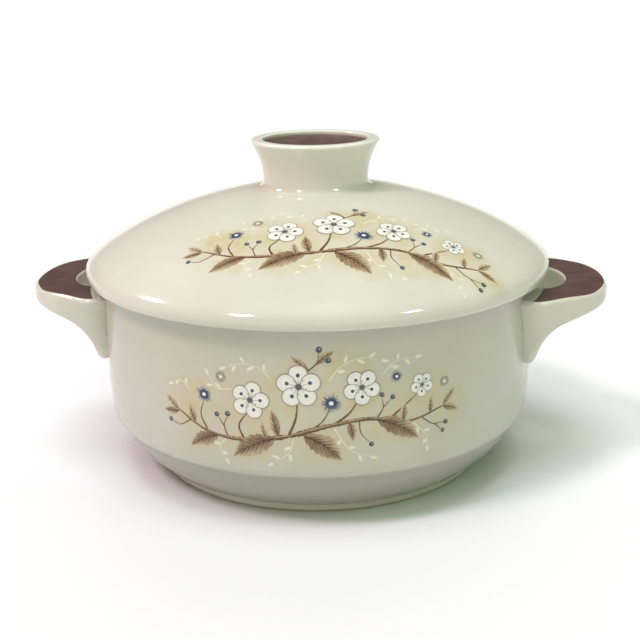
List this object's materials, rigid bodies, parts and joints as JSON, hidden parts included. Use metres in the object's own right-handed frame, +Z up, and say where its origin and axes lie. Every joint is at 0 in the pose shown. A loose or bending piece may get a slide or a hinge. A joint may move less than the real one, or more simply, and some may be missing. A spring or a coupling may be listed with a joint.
{
  "type": "covered casserole dish",
  "caption": "Round glazed pottery casserole: a bowl with two loop handles, and a domed lid that lifts off by a flared knob.",
  "frame": {"origin": "centre of the foot ring's underside, where the dish stands", "axes": "+Z up, along the lid's lift; +X through the two handles; +Y towards the back"},
  "size_m": [0.2624, 0.21, 0.1467],
  "materials": {
    "cream_glaze": "glossy cream-white glaze",
    "brown_glaze": "glossy dark brown glaze"
  },
  "bodies": {
    "dish": {"bowl": "cream_glaze", "left_handle": "cream_glaze", "right_handle": "cream_glaze", "left_handle_glaze": "brown_glaze", "right_handle_glaze": "brown_glaze"},
    "lid": {"lid": "cream_glaze", "lid_knob": "cream_glaze", "knob_glaze": "brown_glaze"}
  },
  "joints": [
    {"name": "lid_lift", "type": "slide", "parent": "dish", "child": "lid", "axis": [0, 0, 1], "range_m": [0, 0.1]}
  ]
}
